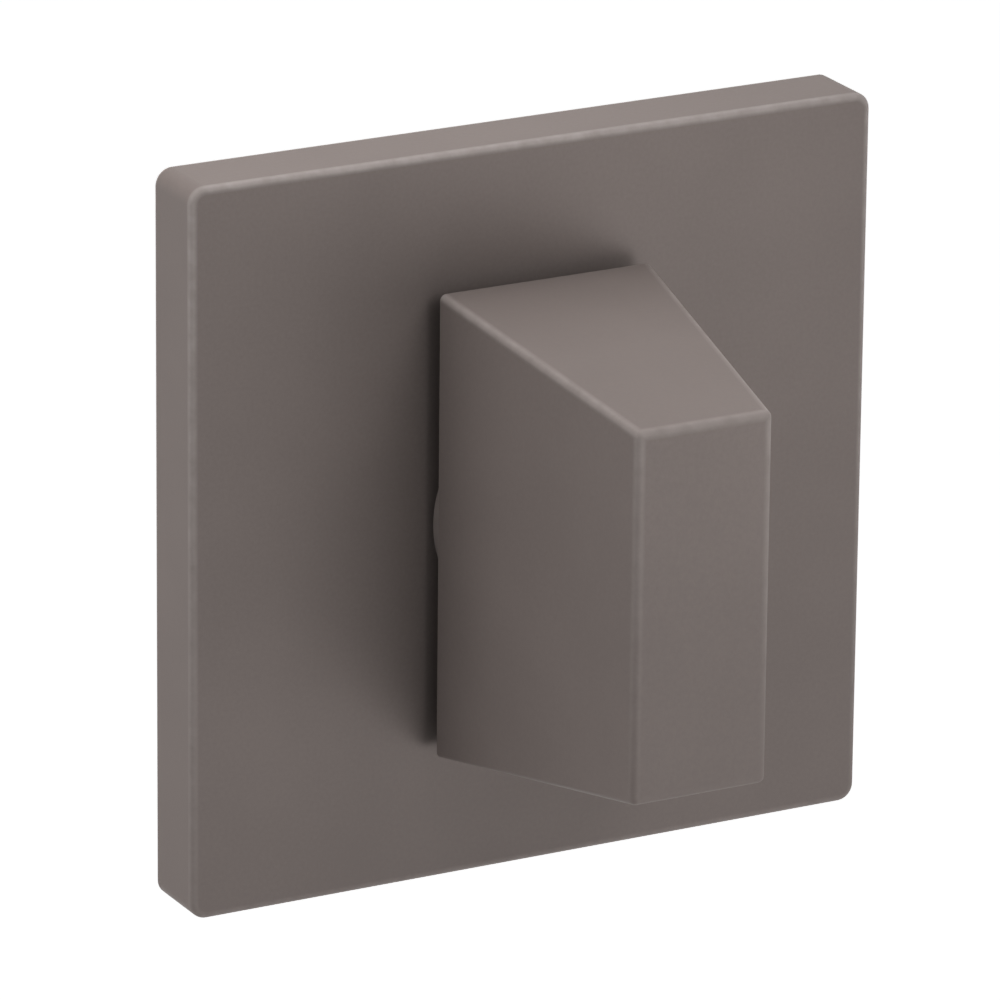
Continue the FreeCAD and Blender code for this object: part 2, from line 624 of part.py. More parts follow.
# Turn knob: a cast wedge, with a collar and a neck turned on its back
def make_turn_knob():
    body = new_body("turn_knob")
    wedge = body.newObject("PartDesign::AdditiveWedge", "turn_knob_wedge")
    wedge.setExpression("Ymin", f"-({KNOB_BACK} + Size.knob_depth)")
    wedge.setExpression("Ymax", f"-{KNOB_BACK}")
    for end, side in (("", "front"), ("2", "back")):
        for axis, span in (("X", "width"), ("Z", "height")):
            half = f"Size.knob_{side}_{span} / 2"
            wedge.setExpression(f"{axis}{end}min", f"-{half}")
            wedge.setExpression(f"{axis}{end}max", half)
    doc.recompute()
    back = value(KNOB_BACK)
    round_edges(body, lambda edge: not lies_at_out(edge, back), "Size.knob_edge")
    round_edges(body, lambda edge: lies_at_out(edge, back), "Size.knob_back_edge")

    collar = new_sketch(body, "collar", COLLAR_BACK)
    draw_circle(collar, f"({BUSH_FLANGE} + 2 * Size.collar_margin)")
    pad_out(body, collar, f"{KNOB_BACK} - {COLLAR_BACK} + Size.knob_edge")
    neck = new_sketch(body, "neck", COLLAR_BACK)
    draw_circle(neck, "Size.neck_diameter")
    pad_in(body, neck, f"{COLLAR_BACK} + Size.neck_reach")
    chamfer_edges(body, lambda edge: lies_at_out(edge, -value("Size.neck_reach")), "Size.neck_chamfer")

    # Two flats for the stop disc, and the ring's groove
    flats = new_sketch(body, "flats", "-Size.neck_reach")
    for side in ("", "-"):
        inner, outer = f"{side}{NECK_FLATS} / 2", f"{side}Size.neck_diameter"
        low, high = (inner, outer) if side == "" else (outer, inner)
        draw_box(flats, low, high, "-Size.neck_diameter", "Size.neck_diameter")
    cut_out(body, flats, f"{DISC_FRONT} + Size.neck_reach")
    groove = new_sketch(body, "groove", f"{RING_BACK} - Size.slide_gap")
    draw_circle(groove, GROOVE_BOTTOM)
    draw_circle(groove, "Size.neck_diameter + Size.ring_thickness")
    cut_out(body, groove, "Size.ring_thickness + Size.slide_gap")

    socket = new_sketch(body, "socket", "-Size.neck_reach")
    draw_rectangle(socket, SOCKET_SIZE, SOCKET_SIZE)
    cut_out(body, socket, "Size.neck_reach + Size.socket_depth")
    pin_hole = new_sketch(body, "pin_hole", plane="YZ_Plane")
    draw_circle(pin_hole, PIN_HOLE, x=PIN_PLACE)
    cut_through(body, pin_hole)


# Spindle: drawn square bar, chamfered at both ends
def make_spindle():
    body = new_body("spindle")
    reach = "(Size.socket_depth - Size.socket_fit)"
    section = new_sketch(body, "section", "-Size.spindle_reach")
    draw_rectangle(section, "Size.spindle_size", "Size.spindle_size")
    pad_out(body, section, f"Size.spindle_reach + {reach}")
    ends = (-value("Size.spindle_reach"), value(reach))
    chamfer_edges(body, lambda edge: any(lies_at_out(edge, out) for out in ends), "Size.spindle_chamfer")
    chamfer_edges(body, runs_along_y, "Size.spindle_edge")
    pin_hole = new_sketch(body, "pin_hole", plane="YZ_Plane")
    draw_circle(pin_hole, PIN_HOLE, x=PIN_PLACE)
    cut_through(body, pin_hole)


# Spindle pin: a slotted spring pin across the neck
def make_spindle_pin():
    body = new_body("spindle_pin")
    half = f"({NECK_FLATS} / 2 - Size.pin_inset)"
    wall = new_sketch(body, "wall", f"-{half}", "YZ_Plane")
    draw_circle(wall, "Size.pin_diameter", x=PIN_PLACE)
    draw_circle(wall, "Size.pin_diameter - 2 * Size.pin_wall", x=PIN_PLACE)
    add_feature(body, "Pad", wall, f"2 * {half}")
    slot = new_sketch(body, "slot", plane="YZ_Plane")
    draw_box(
        slot, PIN_PLACE, f"{PIN_PLACE} + Size.pin_diameter",
        "-Size.pin_slot / 2", "Size.pin_slot / 2",
    )
    cut_through(body, slot)


# Wood screws: countersunk, with a cross recess, each in one of the base's bosses
def make_fixing_screw(name, x_side, z_side):
    body = new_body(f"fixing_screw_{name}")
    profile = new_sketch(body, "profile", plane="XY_Plane")
    head, neck, thread = "Size.screw_head / 2", "Size.screw_neck / 2", "Size.screw_diameter / 2"
    thread_start = f"{SCREW_TOP} + Size.screw_thread_start"
    draw_outline(profile, [
        ("0", "0"),
        (head, "0"),
        (head, "Size.screw_head_rim"),
        (neck, f"Size.screw_head_rim + {head} - {neck}"),
        (neck, thread_start),
        (thread, f"{thread_start} + {thread} - {neck}"),
        (thread, "Size.screw_length - Size.screw_tip"),
        ("0", "Size.screw_length"),
    ])
    screw = body.newObject("PartDesign::Revolution", f"{body.Label}_turned")
    screw.Profile = profile
    screw.ReferenceAxis = (profile, ["V_Axis"])
    screw.Angle = 360
    profile.Visibility = False
    doc.recompute()

    recess = new_sketch(body, "recess")
    draw_cross(recess, "Size.recess_span", "Size.recess_width")
    add_feature(body, "Pocket", recess, "Size.recess_depth", towards_door=True)

    body.setExpression("Placement.Base.x", f"{x_side}{SCREW_OFFSET}")
    body.setExpression("Placement.Base.y", f"-{SCREW_TOP}")
    body.setExpression("Placement.Base.z", f"{z_side}{SCREW_OFFSET}")


def check_and_write():
    """Stops on any failed object or bad shape, and only then writes the files."""
    doc.recompute()
    failed = [o.Name for o in doc.Objects if "Invalid" in o.State or "Error" in o.State]
    bad = [n.Label for n in nodes if n.Shape.isNull() or not n.Shape.isValid() or not n.Shape.Solids]
    if failed or bad:
        raise RuntimeError(f"failed objects {failed}, bad shapes {bad}")
    os.makedirs("parts", exist_ok=True)
    for node in nodes:
        node.Shape.exportStep(f"parts/{node.Label}.step")


make_rose_cover()
make_rose_base()
make_bearing_bush()
make_thrust_washer()
make_spring_washer()
make_stop_disc()
make_retaining_ring()
make_turn_knob()
make_spindle()
make_spindle_pin()
for screw in SCREWS:
    make_fixing_screw(*screw)
check_and_write()
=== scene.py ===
import math

import bpy
from mathutils import Matrix, Vector


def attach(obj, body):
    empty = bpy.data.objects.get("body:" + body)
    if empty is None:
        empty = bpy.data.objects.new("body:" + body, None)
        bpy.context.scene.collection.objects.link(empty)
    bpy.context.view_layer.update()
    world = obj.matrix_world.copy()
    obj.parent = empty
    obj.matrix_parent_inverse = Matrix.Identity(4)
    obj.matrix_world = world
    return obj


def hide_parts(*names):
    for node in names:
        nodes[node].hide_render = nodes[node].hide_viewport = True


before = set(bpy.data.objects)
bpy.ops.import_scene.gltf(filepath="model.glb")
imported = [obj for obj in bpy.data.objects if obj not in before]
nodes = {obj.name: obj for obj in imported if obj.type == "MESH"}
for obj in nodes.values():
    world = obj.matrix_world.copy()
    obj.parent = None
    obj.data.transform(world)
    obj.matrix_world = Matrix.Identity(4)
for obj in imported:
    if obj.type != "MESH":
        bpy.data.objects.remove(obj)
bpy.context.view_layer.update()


# Rose base: a moulding in glass-filled nylon, dark grey and dull, screwed to the door. Its skin has the
# fine grain of a spark-eroded mould, and the glass shows as faint streaks along the flow.
def new_finish(name, colour, metallic, specular=0.5):
    """A material with one Principled shader, whose even values are set on the shader itself."""
    material = bpy.data.materials.new(name)
    material.use_nodes = True
    material.diffuse_color = (*colour, 1)
    shader = material.node_tree.nodes["Principled BSDF"]
    shader.inputs["Base Color"].default_value = (*colour, 1)
    shader.inputs["Metallic"].default_value = metallic
    shader.inputs["Specular IOR Level"].default_value = specular
    return material, shader


def grain(material, size, detail=2.0, stretch=(1, 1, 1), turn=(0, 0, 0)):
    """A noise fixed to the piece, with grains of about the given size in metres."""
    tree = material.node_tree
    place = tree.nodes.new("ShaderNodeTexCoord")
    mapping = tree.nodes.new("ShaderNodeMapping")
    mapping.inputs["Scale"].default_value = stretch
    mapping.inputs["Rotation"].default_value = turn
    tree.links.new(place.outputs["Object"], mapping.inputs["Vector"])
    noise = tree.nodes.new("ShaderNodeTexNoise")
    noise.inputs["Detail"].default_value = detail
    noise.inputs["Scale"].default_value = 1 / size
    tree.links.new(mapping.outputs["Vector"], noise.inputs["Vector"])
    return noise.outputs["Fac"]


def spread(material, pattern, low, high, low_at=0.3, high_at=0.7):
    """Turns a pattern into values, low where it is at low_at and high where it is at high_at."""
    tree = material.node_tree
    ranged = tree.nodes.new("ShaderNodeMapRange")
    for name, value in (("From Min", low_at), ("From Max", high_at), ("To Min", low), ("To Max", high)):
        ranged.inputs[name].default_value = value
    tree.links.new(pattern, ranged.inputs["Value"])
    return ranged.outputs["Result"]


def tint(material, pattern, stops):
    """Colours along a pattern, as (place, colour) pairs."""
    tree = material.node_tree
    ramp = tree.nodes.new("ShaderNodeValToRGB")
    while len(ramp.color_ramp.elements) < len(stops):
        ramp.color_ramp.elements.new(0.5)
    for element, (place, colour) in zip(ramp.color_ramp.elements, stops):
        element.position = place
        element.color = (*colour, 1)
    tree.links.new(pattern, ramp.inputs["Fac"])
    return ramp.outputs["Color"]


def relief(material, layers):
    """Small heights stacked up, as (pattern, height in metres, strength)."""
    tree = material.node_tree
    normal = None
    for pattern, height, strength in layers:
        bump = tree.nodes.new("ShaderNodeBump")
        bump.inputs["Distance"].default_value = height
        bump.inputs["Strength"].default_value = strength
        tree.links.new(pattern, bump.inputs["Height"])
        if normal:
            tree.links.new(normal, bump.inputs["Normal"])
        normal = bump.outputs["Normal"]
    return normal


def feed(material, shader, **patterns):
    """Links patterns to the shader's sockets."""
    sockets = {"colour": "Base Color", "roughness": "Roughness", "normal": "Normal"}
    for key, pattern in patterns.items():
        material.node_tree.links.new(pattern, shader.inputs[sockets[key]])


def dress(node, material):
    """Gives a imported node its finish, through its material slots only."""
    for slot in nodes[node].material_slots:
        slot.material = material


moulded_nylon, shader = new_finish("moulded_nylon", (0.05, 0.05, 0.053), metallic=0.0, specular=0.4)
glass_streaks = grain(moulded_nylon, size=0.0016, detail=3, stretch=(1, 1, 0.22), turn=(0, 0.5, 0))
mould_skin = grain(moulded_nylon, size=0.00022, detail=2)
feed(
    moulded_nylon, shader,
    colour=tint(moulded_nylon, glass_streaks, [
        (0.30, (0.040, 0.040, 0.043)), (0.55, (0.052, 0.052, 0.055)), (0.74, (0.085, 0.084, 0.083)),
    ]),
    roughness=spread(moulded_nylon, glass_streaks, 0.72, 0.5),
    normal=relief(moulded_nylon, [(mould_skin, 0.00004, 0.35), (glass_streaks, 0.00003, 0.2)]),
)
dress("rose_base", moulded_nylon)


# Fixing screws: four countersunk wood screws in yellow-passivated steel, driven through the base into
# the door. The heads are cold-formed round a cross recess, and the threads are rolled.
yellow_zinc, shader = new_finish("yellow_zinc", (0.66, 0.53, 0.30), metallic=1.0)
passivation = grain(yellow_zinc, size=0.0022, detail=3)
rolling = grain(yellow_zinc, size=0.00025, detail=2, stretch=(1, 0.3, 1))
feed(
    yellow_zinc, shader,
    colour=tint(yellow_zinc, passivation, [
        (0.30, (0.66, 0.60, 0.40)), (0.48, (0.70, 0.54, 0.27)),
        (0.60, (0.66, 0.50, 0.33)), (0.74, (0.58, 0.60, 0.42)),
    ]),
    roughness=spread(yellow_zinc, rolling, 0.24, 0.42),
    normal=relief(yellow_zinc, [(rolling, 0.000012, 0.4)]),
)

SCREW_SIZES = {
    "Head Diameter": 0.0070,
    "Head Rim": 0.00025,
    "Neck Diameter": 0.0026,
    "Core Diameter": 0.0024,
    "Thread Diameter": 0.0035,
    "Thread Start": 0.0038,
    "Pitch": 0.0014,
    "Length": 0.0160,
    "Point Length": 0.0034,
    "Recess Span": 0.0039,
    "Recess Width": 0.00095,
    "Recess Depth": 0.0017,
    "Screw Circle": 0.0380,
    "Head Out": 0.0035,
}
AROUND = 36
ROWS_A_TURN = 8
HEAD_ROWS = 5
THREAD_ROWS = 88
# CREST_TO_ROOT is a share of the pitch, and the two of the recess are shares of its width and its depth
CREST_TO_ROOT = 0.24
POINT_CURVE = 0.8
NECK_TO_THREAD = 0.0001
SAME_POINT = 0.000002
RECESS_NARROWING = 0.45
RECESS_SINK = 0.48
SHARP_FROM = math.radians(32)


class Graph:
    """Short words for wiring a tree of nodes."""

    def __init__(self, tree):
        self.tree = tree

    def node(self, kind, values=None, **settings):
        """Adds a node with its settings, and its sockets linked or set by name or number."""
        node = self.tree.nodes.new(kind)
        for key, value in settings.items():
            setattr(node, key, value)
        for key, value in (values or {}).items():
            if isinstance(value, bpy.types.NodeSocket):
                self.tree.links.new(value, node.inputs[key])
            else:
                node.inputs[key].default_value = value
        return node

    def calc(self, operation, *terms):
        """One step of arithmetic on sockets and numbers."""
        return self.node("ShaderNodeMath", dict(enumerate(terms)), operation=operation).outputs[0]

    def blend(self, factor, first, second):
        """A colour between two colours or sockets."""
        mix = self.node("ShaderNodeMix", {"Factor": factor, 6: first, 7: second}, data_type="RGBA")
        return mix.outputs[2]

    def point(self, x, y, z):
        """A point or a set of angles, put together from three values."""
        return self.node("ShaderNodeCombineXYZ", {0: x, 1: y, 2: z}).outputs[0]

    def where(self):
        """The x, y and z of a place on the piece, in metres."""
        place = self.node("ShaderNodeTexCoord").outputs["Object"]
        return self.node("ShaderNodeSeparateXYZ", {0: place}).outputs


class Recipe(Graph):
    """A Geometry Nodes tree with one named input for each of a piece's sizes."""

    def __init__(self, name, sizes):
        super().__init__(bpy.data.node_groups.new(name, "GeometryNodeTree"))
        sockets = self.tree.interface
        sockets.new_socket("Geometry", in_out="OUTPUT", socket_type="NodeSocketGeometry")
        self.sizes = sizes
        self.identifiers = {
            label: sockets.new_socket(label, in_out="INPUT", socket_type="NodeSocketFloat").identifier
            for label in sizes
        }
        self.inputs = self.tree.nodes.new("NodeGroupInput").outputs
        self.output = self.tree.nodes.new("NodeGroupOutput")

    def where(self):
        """The x, y and z of each point of the mesh."""
        place = self.node("GeometryNodeInputPosition").outputs[0]
        return self.node("ShaderNodeSeparateXYZ", {0: place}).outputs

    def grow(self, name):
        """Runs the tree once and keeps what it makes as a plain mesh."""
        piece = bpy.data.objects.new(name, bpy.data.meshes.new(name))
        bpy.context.scene.collection.objects.link(piece)
        modifier = piece.modifiers.new(name, "NODES")
        modifier.node_group = self.tree
        for label, value in self.sizes.items():
            modifier[self.identifiers[label]] = value
        bpy.context.view_layer.update()
        evaluated = piece.evaluated_get(bpy.context.evaluated_depsgraph_get())
        grown = bpy.data.meshes.new_from_object(evaluated)
        piece.modifiers.clear()
        piece.data = grown
        return piece


def draw_screw(graph):
    """One screw along +Y with its head's top at the origin: head, neck, thread and point in one skin."""
    size = graph.inputs
    rows = HEAD_ROWS + THREAD_ROWS
    grid = graph.node("GeometryNodeMeshGrid", {
        "Size X": rows - 1.0, "Size Y": 1.0, "Vertices X": rows, "Vertices Y": AROUND + 1,
    })
    along_grid, across_grid, _ = graph.where()
    row = graph.calc("ROUND", graph.calc("ADD", along_grid, (rows - 1) / 2))
    lap = graph.calc("ADD", across_grid, 0.5)
    angle = graph.calc("MULTIPLY", lap, math.tau)

    # Along the thread, each row of the grid follows the helix
    step = graph.calc("DIVIDE", graph.calc("SUBTRACT", row, HEAD_ROWS), ROWS_A_TURN)
    travel = graph.calc("MULTIPLY", graph.calc("SUBTRACT", step, lap), size["Pitch"])
    along = graph.calc("ADD", size["Thread Start"], graph.calc("MAXIMUM", travel, 0.0))
    along = graph.calc("MINIMUM", along, size["Length"])
    off_crest = graph.calc("ABSOLUTE", graph.calc("SUBTRACT", graph.calc("FRACT", step), 0.5))
    off_crest = graph.calc("DIVIDE", off_crest, CREST_TO_ROOT)
    ridge = graph.calc("MAXIMUM", graph.calc("SUBTRACT", 1.0, off_crest), 0.0)
    run_in = graph.calc("DIVIDE", graph.calc("SUBTRACT", along, size["Thread Start"]), size["Pitch"])
    run_in = graph.calc("MINIMUM", run_in, 1.0)
    to_point = graph.calc("DIVIDE", graph.calc("SUBTRACT", size["Length"], along), size["Point Length"])
    to_point = graph.calc("MINIMUM", to_point, 1.0)
    core = graph.calc("MULTIPLY", size["Core Diameter"], 0.5)
    height = graph.calc("SUBTRACT", graph.calc("MULTIPLY", size["Thread Diameter"], 0.5), core)
    height = graph.calc("MULTIPLY", graph.calc("MULTIPLY", height, ridge), run_in)
    taper = graph.calc("POWER", to_point, POINT_CURVE)
    thread_radius = graph.calc("MULTIPLY", graph.calc("ADD", core, height), taper)

    # The head's rows: middle, rim, foot of the rim, foot of the cone, end of the neck
    head = graph.calc("MULTIPLY", size["Head Diameter"], 0.5)
    neck = graph.calc("MULTIPLY", size["Neck Diameter"], 0.5)
    cone_foot = graph.calc("ADD", size["Head Rim"], graph.calc("SUBTRACT", head, neck))
    neck_end = graph.calc("SUBTRACT", size["Thread Start"], NECK_TO_THREAD)
    outline = [(0.0, 0.0), (head, 0.0), (head, size["Head Rim"]), (neck, cone_foot), (neck, neck_end)]
    picked = []
    for choices in zip(*outline, (thread_radius, along)):
        switch = graph.node("GeometryNodeIndexSwitch", data_type="FLOAT")
        while len(switch.index_switch_items) < len(choices):
            switch.index_switch_items.new()
        index = graph.calc("MINIMUM", row, float(HEAD_ROWS))
        graph.tree.links.new(index, switch.inputs["Index"])
        for number, choice in enumerate(choices, start=1):
            if isinstance(choice, bpy.types.NodeSocket):
                graph.tree.links.new(choice, switch.inputs[number])
            else:
                switch.inputs[number].default_value = choice
        picked.append(switch.outputs[0])
    radius, depth = picked
    around_x = graph.calc("MULTIPLY", radius, graph.calc("COSINE", angle))
    around_z = graph.calc("MULTIPLY", radius, graph.calc("SINE", angle))
    skin = graph.node("GeometryNodeSetPosition", {
        "Geometry": grid.outputs["Mesh"], "Position": graph.point(around_x, depth, around_z),
    })
    return graph.node("GeometryNodeMergeByDistance", {
        "Geometry": skin.outputs[0], "Distance": SAME_POINT,
    }).outputs[0]


def draw_bit(graph, wide_x):
    """One wing of the tapered cross that the recess is struck with, a little proud of the head's top."""
    size = graph.inputs
    span, width = size["Recess Span"], size["Recess Width"]
    box = graph.node("GeometryNodeMeshCube", {
        "Size": graph.point(span if wide_x else width, size["Recess Depth"], width if wide_x else span),
    })
    x, y, z = graph.where()
    deep = graph.calc("ADD", graph.calc("DIVIDE", y, size["Recess Depth"]), 0.5)
    narrowing = graph.calc("SUBTRACT", 1.0, graph.calc("MULTIPLY", deep, RECESS_NARROWING))
    x = graph.calc("MULTIPLY", x, narrowing)
    z = graph.calc("MULTIPLY", z, narrowing)
    y = graph.calc("ADD", y, graph.calc("MULTIPLY", size["Recess Depth"], RECESS_SINK))
    return graph.node("GeometryNodeSetPosition", {
        "Geometry": box.outputs["Mesh"], "Position": graph.point(x, y, z),
    }).outputs[0]


screw_graph = Recipe("wood_screws", SCREW_SIZES)
recess = screw_graph.node("GeometryNodeMeshBoolean", operation="DIFFERENCE", solver="EXACT")
screw_graph.tree.links.new(draw_screw(screw_graph), recess.inputs["Mesh 1"])
for wide_x in (True, False):
    screw_graph.tree.links.new(draw_bit(screw_graph, wide_x), recess.inputs["Mesh 2"])
half_circle = screw_graph.calc("MULTIPLY", screw_graph.inputs["Screw Circle"], 0.5)
circle = screw_graph.node("GeometryNodeMeshCircle", {"Vertices": 4, "Radius": half_circle})
head_top = screw_graph.calc("MULTIPLY", screw_graph.inputs["Head Out"], -1.0)
stations = screw_graph.node("GeometryNodeTransform", {
    "Geometry": circle.outputs[0],
    "Translation": screw_graph.point(0.0, head_top, 0.0),
    "Rotation": (math.pi / 2, math.pi / 4, 0),
})
clocking = screw_graph.node("FunctionNodeRandomValue", {"Seed": 7}, data_type="FLOAT")
clocking.inputs[2].default_value = 0.0
clocking.inputs[3].default_value = math.tau
placed = screw_graph.node("GeometryNodeInstanceOnPoints", {
    "Points": stations.outputs[0],
    "Instance": recess.outputs["Mesh"],
    "Rotation": screw_graph.point(0.0, clocking.outputs[1], 0.0),
})
real = screw_graph.node("GeometryNodeRealizeInstances", {"Geometry": placed.outputs[0]})
smooth = screw_graph.node("GeometryNodeSetShadeSmooth", {
    "Geometry": real.outputs[0], "Shade Smooth": True,
})
bend = screw_graph.node("GeometryNodeInputMeshEdgeAngle")
creases = screw_graph.node("GeometryNodeSetShadeSmooth", {
    "Geometry": smooth.outputs[0],
    "Selection": screw_graph.calc("GREATER_THAN", bend.outputs[0], SHARP_FROM),
    "Shade Smooth": False,
}, domain="EDGE")
finished = screw_graph.node("GeometryNodeSetMaterial", {
    "Geometry": creases.outputs[0], "Material": yellow_zinc,
})
screw_graph.tree.links.new(finished.outputs[0], screw_graph.output.inputs[0])

wood_screws = screw_graph.grow("wood_screws")
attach(wood_screws, "rose")
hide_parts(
    "fixing_screw_upper_left", "fixing_screw_upper_right",
    "fixing_screw_lower_left", "fixing_screw_lower_right",
)


# Stop disc and thrust washer: stamped from steel strip and zinc plated in a barrel, which leaves a soft
# sheen with fine random scratches. The disc's lug meets the base's shoulders.
barrel_zinc, shader = new_finish("barrel_zinc", (0.66, 0.67, 0.69), metallic=1.0)
tumble_marks = grain(barrel_zinc, size=0.0006, detail=4, stretch=(1, 1, 3))
cloudy_plate = grain(barrel_zinc, size=0.004, detail=2)
feed(
    barrel_zinc, shader,
    colour=tint(barrel_zinc, cloudy_plate, [(0.3, (0.60, 0.61, 0.64)), (0.7, (0.71, 0.71, 0.72))]),
    roughness=spread(barrel_zinc, tumble_marks, 0.28, 0.46),
    normal=relief(barrel_zinc, [(tumble_marks, 0.00002, 0.25)]),
)
dress("stop_disc", barrel_zinc)
dress("thrust_washer", barrel_zinc)


# Spring washer, retaining ring and slotted pin: hardened spring steel, dark from its heat treatment and
# lightly oiled, with a blotchy brown to blue-grey skin.
tempered_steel, shader = new_finish("tempered_steel", (0.17, 0.165, 0.165), metallic=1.0)
oil_film = grain(tempered_steel, size=0.0015, detail=4)
scale_marks = grain(tempered_steel, size=0.0003, detail=3)
feed(
    tempered_steel, shader,
    colour=tint(tempered_steel, oil_film, [
        (0.32, (0.12, 0.115, 0.12)), (0.52, (0.17, 0.165, 0.165)), (0.72, (0.24, 0.215, 0.19)),
    ]),
    roughness=spread(tempered_steel, oil_film, 0.52, 0.3),
    normal=relief(tempered_steel, [(scale_marks, 0.000015, 0.35)]),
)
for node in ("spring_washer", "retaining_ring", "spindle_pin"):
    dress(node, tempered_steel)


# Bearing bush: moulded in dark acetal, smooth and slightly waxy, keyed into the cover's hole so that
# the neck of the knob never runs on the coat.
dark_acetal, shader = new_finish("dark_acetal", (0.030, 0.029, 0.028), metallic=0.0, specular=0.45)
waxy_skin = grain(dark_acetal, size=0.0012, detail=2)
feed(
    dark_acetal, shader,
    colour=tint(dark_acetal, waxy_skin, [(0.35, (0.026, 0.025, 0.024)), (0.7, (0.036, 0.034, 0.033))]),
    roughness=spread(dark_acetal, waxy_skin, 0.34, 0.48),
    normal=relief(dark_acetal, [(waxy_skin, 0.00002, 0.15)]),
)
dress("bearing_bush", dark_acetal)


# Rose cover: die-cast zinc, shot clean and coated in a fine matt warm grey, clipped over the base. The
# coat has a very fine peel and speckle. Its edges are painted lighter as a painted highlight, which is
# stronger towards the top where the light falls.
COAT_COLOUR = (0.165, 0.138, 0.128)
DARKER, LIGHTER = 0.95, 1.05
# Painted highlight: the lighter colour painted along the coat's edges
EDGE_HIGHLIGHT_COLOUR = (0.322, 0.287, 0.273)
RUBBED_POLISH = 0.14
EDGE_FADE = 0.4


def near_edges(graph, half_x, half_z, taper_x, taper_z, back, front, radius, back_radius, corner=0):
    """1 along the rounded edges of a block that tapers towards its front, and 0 on its flats.

    The tapers say how far each wall comes in for a metre towards the front. Where the block has wide
    corners in its outline, those count as flats."""
    place = graph.where()
    out = graph.calc("SUBTRACT", back, place[1])
    reach = max(corner, radius)
    depths = []
    for axis, half, taper in ((0, half_x, taper_x), (2, half_z, taper_z)):
        wall = graph.calc("SUBTRACT", half - reach, graph.calc("MULTIPLY", out, taper))
        depths.append(graph.calc("SUBTRACT", graph.calc("ABSOLUTE", place[axis]), wall))
    side, upper = depths
    front_end = graph.calc("SUBTRACT", out, back - front - radius)
    back_end = graph.calc("SUBTRACT", radius, graph.calc("MULTIPLY", out, radius / back_radius))
    end = graph.calc("MAXIMUM", front_end, back_end)
    if corner:
        squares = [graph.calc("POWER", graph.calc("MAXIMUM", depth, 0.0), 2.0) for depth in depths]
        outline = graph.calc("SUBTRACT", graph.calc("SQRT", graph.calc("ADD", *squares)), corner - radius)
        second = graph.calc("MINIMUM", outline, end)
    else:
        inner = graph.calc("MINIMUM", graph.calc("MAXIMUM", side, upper), end)
        second = graph.calc("MAXIMUM", graph.calc("MINIMUM", side, upper), inner)
    return graph.node("ShaderNodeMapRange", {
        "Value": second, "From Min": -EDGE_FADE * radius, "From Max": EDGE_FADE * radius,
    }).outputs["Result"]


def matt_coat(name, highlight_below, highlight_above, **block):
    """The warm grey coat: speckle in the colour, grain in the gloss and a fine peel in the surface.

    The two edge amounts for below and above, from 0 to 1, say how strongly its edges are painted lighter
    at the bottom and at the top. This is a painted highlight, stronger on the upper edges where the light
    falls."""
    coat, shader = new_finish(name, COAT_COLOUR, metallic=0.0, specular=0.12)
    graph = Graph(coat.node_tree)
    speckle = grain(coat, size=0.00028, detail=2)
    clouds = grain(coat, size=0.011, detail=2)
    peel = grain(coat, size=0.0005, detail=2)
    powder = grain(coat, size=0.00012, detail=1)
    highlight_patches = grain(coat, size=0.0013, detail=3)
    upwards = graph.where()[2]
    # Painted highlight: the edge lightening grows towards the top, where the light falls
    highlight_by_height = spread(coat, upwards, highlight_below, highlight_above, low_at=-block["half_z"], high_at=block["half_z"])
    patchy_highlight = graph.calc("MULTIPLY", spread(coat, highlight_patches, 0.55, 1.0), highlight_by_height)
    edges = graph.calc("MULTIPLY", near_edges(graph, **block), patchy_highlight)
    blotches = graph.calc("MULTIPLY", graph.calc("ADD", speckle, clouds), 0.5)
    even = tint(coat, blotches, [
        (0.36, tuple(channel * DARKER for channel in COAT_COLOUR)),
        (0.50, COAT_COLOUR),
        (0.64, tuple(channel * LIGHTER for channel in COAT_COLOUR)),
    ])
    # The edges take the painted highlight colour
    colour = graph.blend(edges, even, (*EDGE_HIGHLIGHT_COLOUR, 1))
    polished = graph.calc("MULTIPLY", edges, RUBBED_POLISH)
    gloss = graph.calc("SUBTRACT", spread(coat, speckle, 0.50, 0.60), polished)
    feed(
        coat, shader, colour=colour, roughness=gloss,
        normal=relief(coat, [(peel, 0.00002, 0.25), (powder, 0.00001, 0.4)]),
    )
    return coat


# Edges painted lighter as a painted highlight, more at the top than at the bottom
dress("rose_cover", matt_coat(
    "warm_grey_rose_coat", highlight_below=0.35, highlight_above=0.95,
    half_x=0.026, half_z=0.026, taper_x=0.0, taper_z=0.0, back=0.0, front=-0.0053,
    radius=0.0004, back_radius=0.0001, corner=0.0012,
))


# Turn knob: a zinc casting with the same coat as the cover. Its neck is masked from the coat and turned
# bright to fit the bush, and runs through washers and disc; the ring in its groove keeps it in the rose.
# Edges painted lighter as a painted highlight, only towards the top
knob_coat = matt_coat(
    "warm_grey_knob_coat", highlight_below=0.0, highlight_above=0.55,
    half_x=0.0081, half_z=0.01665, taper_x=0.13677, taper_z=0.16143, back=-0.0067, front=-0.029,
    radius=0.00045, back_radius=0.00012,
)
knob_graph = Graph(knob_coat.node_tree)
shader = knob_coat.node_tree.nodes["Principled BSDF"]
MASK_FROM, MASK_TO = -0.00565, -0.0055
MASK_RAGGED = 0.0004
ragged = knob_graph.calc("MULTIPLY", grain(knob_coat, size=0.0009, detail=3), MASK_RAGGED)
mask_line = knob_graph.calc("ADD", knob_graph.where()[1], ragged)
bare = spread(knob_coat, mask_line, 0.0, 1.0, low_at=MASK_FROM, high_at=MASK_TO)
turning_marks = grain(knob_coat, size=0.00016, detail=2, stretch=(0.01, 1, 0.01))
TURNED_ZINC = [(0.35, (0.40, 0.405, 0.42)), (0.65, (0.56, 0.56, 0.57))]
turned = tint(knob_coat, turning_marks, TURNED_ZINC)
